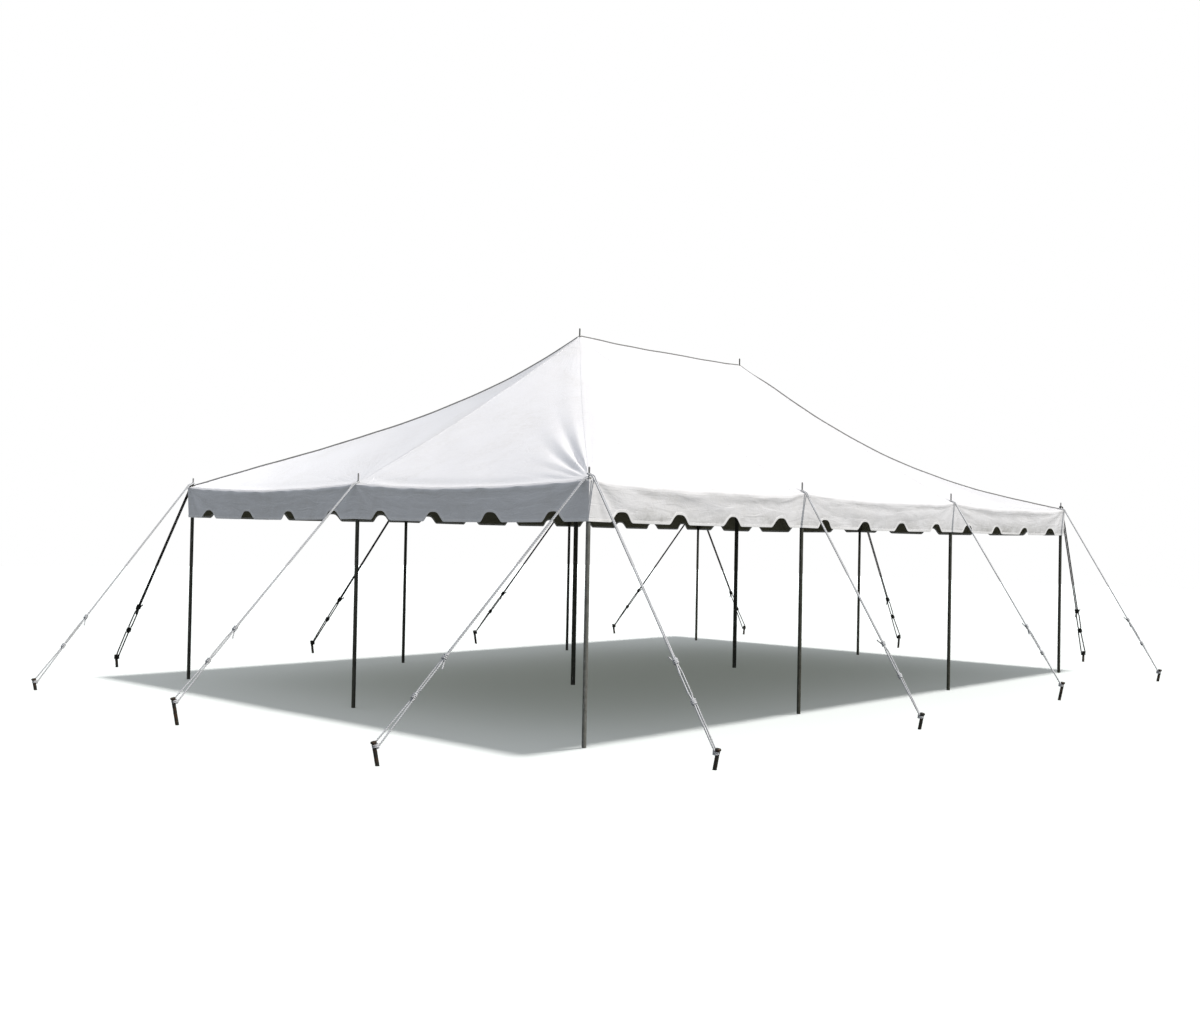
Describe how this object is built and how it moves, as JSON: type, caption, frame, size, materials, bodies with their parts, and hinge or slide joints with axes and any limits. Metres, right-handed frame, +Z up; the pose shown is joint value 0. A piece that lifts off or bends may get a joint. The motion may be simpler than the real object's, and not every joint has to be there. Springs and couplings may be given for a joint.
{
  "type": "marquee tent",
  "caption": "White push-pole marquee without walls: a two-peaked canopy with a scalloped valance on steel poles, held by roped stakes.",
  "frame": {"origin": "middle of the ground that the tent and its stakes stand on", "axes": "+X along the long side to the right, +Y towards the back, +Z up; the front long side faces -Y"},
  "size_m": [12.9131, 9.2528, 4.054],
  "materials": {
    "canopy_vinyl": "white coated vinyl cloth, satin",
    "pole_steel": "dark galvanised steel tube, satin",
    "guy_rope": "white laid rope, matt",
    "stake_steel": "dark forged steel, worn"
  },
  "bodies": {
    "root": {"roof_front_slope": "canopy_vinyl", "roof_back_slope": "canopy_vinyl", "roof_left_end": "canopy_vinyl", "roof_right_end": "canopy_vinyl", "valance_front": "canopy_vinyl", "valance_back": "canopy_vinyl", "valance_left": "canopy_vinyl", "valance_right": "canopy_vinyl", "side_pole_front_left": "pole_steel", "side_pole_front_2": "pole_steel", "side_pole_front_3": "pole_steel", "side_pole_front_right": "pole_steel", "side_pole_back_left": "pole_steel", "side_pole_back_2": "pole_steel", "side_pole_back_3": "pole_steel", "side_pole_back_right": "pole_steel", "side_pole_left_middle": "pole_steel", "side_pole_right_middle": "pole_steel", "centre_pole_left": "pole_steel", "centre_pole_right": "pole_steel", "guy_front_left_end": "guy_rope", "guy_front_left_side": "guy_rope", "guy_front_2": "guy_rope", "guy_front_3": "guy_rope", "guy_front_right_side": "guy_rope", "guy_front_right_end": "guy_rope", "guy_right_middle": "guy_rope", "guy_back_right_end": "guy_rope", "guy_back_right_side": "guy_rope", "guy_back_3": "guy_rope", "guy_back_2": "guy_rope", "guy_back_left_side": "guy_rope", "guy_back_left_end": "guy_rope", "guy_left_middle": "guy_rope", "stake_front_left_end": "stake_steel", "stake_front_left_side": "stake_steel", "stake_front_2": "stake_steel", "stake_front_3": "stake_steel", "stake_front_right_side": "stake_steel", "stake_front_right_end": "stake_steel", "stake_right_middle": "stake_steel", "stake_back_right_end": "stake_steel", "stake_back_right_side": "stake_steel", "stake_back_3": "stake_steel", "stake_back_2": "stake_steel", "stake_back_left_side": "stake_steel", "stake_back_left_end": "stake_steel", "stake_left_middle": "stake_steel"}
  },
  "joints": []
}
